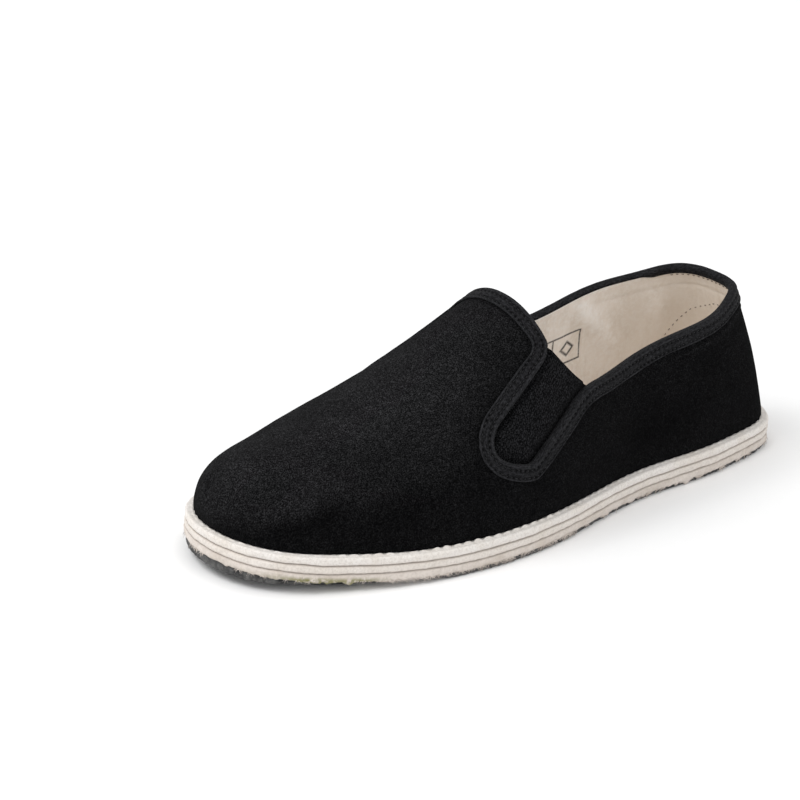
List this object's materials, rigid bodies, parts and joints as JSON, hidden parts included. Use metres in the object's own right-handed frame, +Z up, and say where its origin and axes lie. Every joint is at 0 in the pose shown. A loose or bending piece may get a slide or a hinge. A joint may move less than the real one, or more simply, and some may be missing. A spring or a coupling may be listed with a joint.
{
  "type": "chinese cloth slip-on shoe",
  "caption": "Black canvas slip-on shoe with a bound collar, elastic side gores, cream lining and a white layered cotton sole over dark rubber.",
  "frame": {"origin": "on the floor, under the middle of the shoe's bounding box", "axes": "+X along the sole to the toe, +Y to the outer side of the left foot, +Z up"},
  "size_m": [0.272, 0.0984, 0.0855],
  "materials": {
    "canvas": "matt brushed cotton canvas, cream cotton lining inside",
    "binding": "plain woven cotton tape, stitched",
    "elastic": "ribbed knitted elastic",
    "lining": "plain cream cotton cloth",
    "cotton_sole": "layered white cotton, pressed and trimmed, frayed at the lower edge",
    "rubber": "dull dark rubber with a rough cut edge"
  },
  "bodies": {
    "root": {"upper": "canvas", "collar_binding": "binding", "gore_outer": "elastic", "gore_inner": "elastic", "insole": "lining", "sole_layer_top": "cotton_sole", "sole_layer_middle": "cotton_sole", "sole_layer_lower": "cotton_sole", "outsole": "rubber"}
  },
  "joints": []
}
